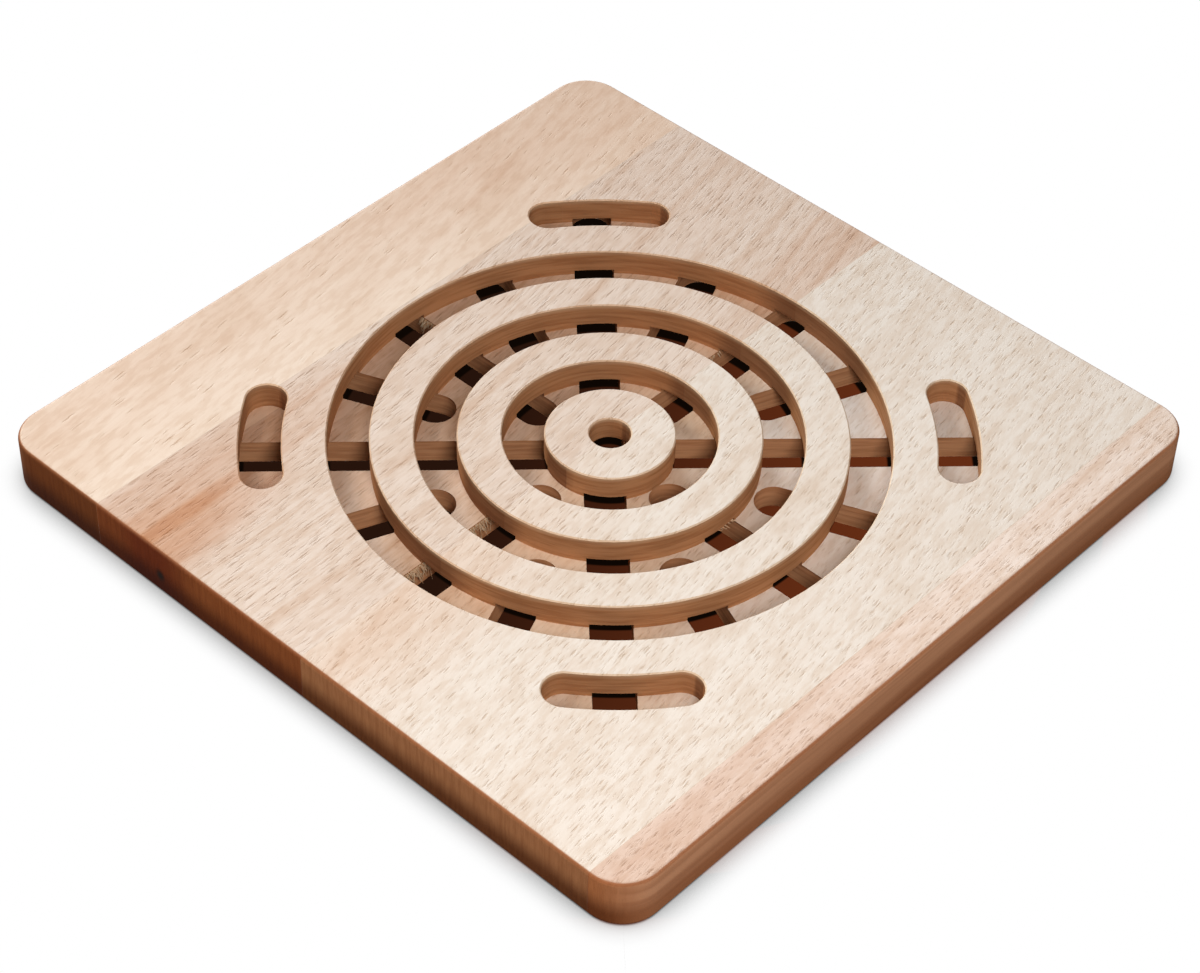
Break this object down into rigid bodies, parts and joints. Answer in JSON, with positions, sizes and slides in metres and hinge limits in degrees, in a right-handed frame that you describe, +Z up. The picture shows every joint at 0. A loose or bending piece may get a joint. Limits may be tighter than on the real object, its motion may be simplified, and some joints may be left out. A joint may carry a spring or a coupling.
{
  "type": "trivet",
  "caption": "Square beech trivet with rounded corners; ring grooves in its top cross air channels in its underside, so air flows under a hot pan.",
  "frame": {"origin": "centre of the underside, on the table", "axes": "+X along the grain and the joint lines, +Y from the narrow front stave to the back stave, +Z up"},
  "size_m": [0.2, 0.2, 0.0135],
  "materials": {
    "front_beech": "bare sanded beech with fine flecks, satin",
    "wide_beech": "bare sanded beech with fine flecks, satin",
    "middle_beech": "bare sanded beech with fine flecks, satin",
    "back_beech": "bare sanded beech with fine flecks, satin",
    "wood_glue": "cured, hair-thin"
  },
  "bodies": {
    "root": {"front_stave": "front_beech", "wide_stave": "wide_beech", "middle_stave": "middle_beech", "back_stave": "back_beech", "front_glue_line": "wood_glue", "middle_glue_line": "wood_glue", "back_glue_line": "wood_glue"}
  },
  "joints": []
}
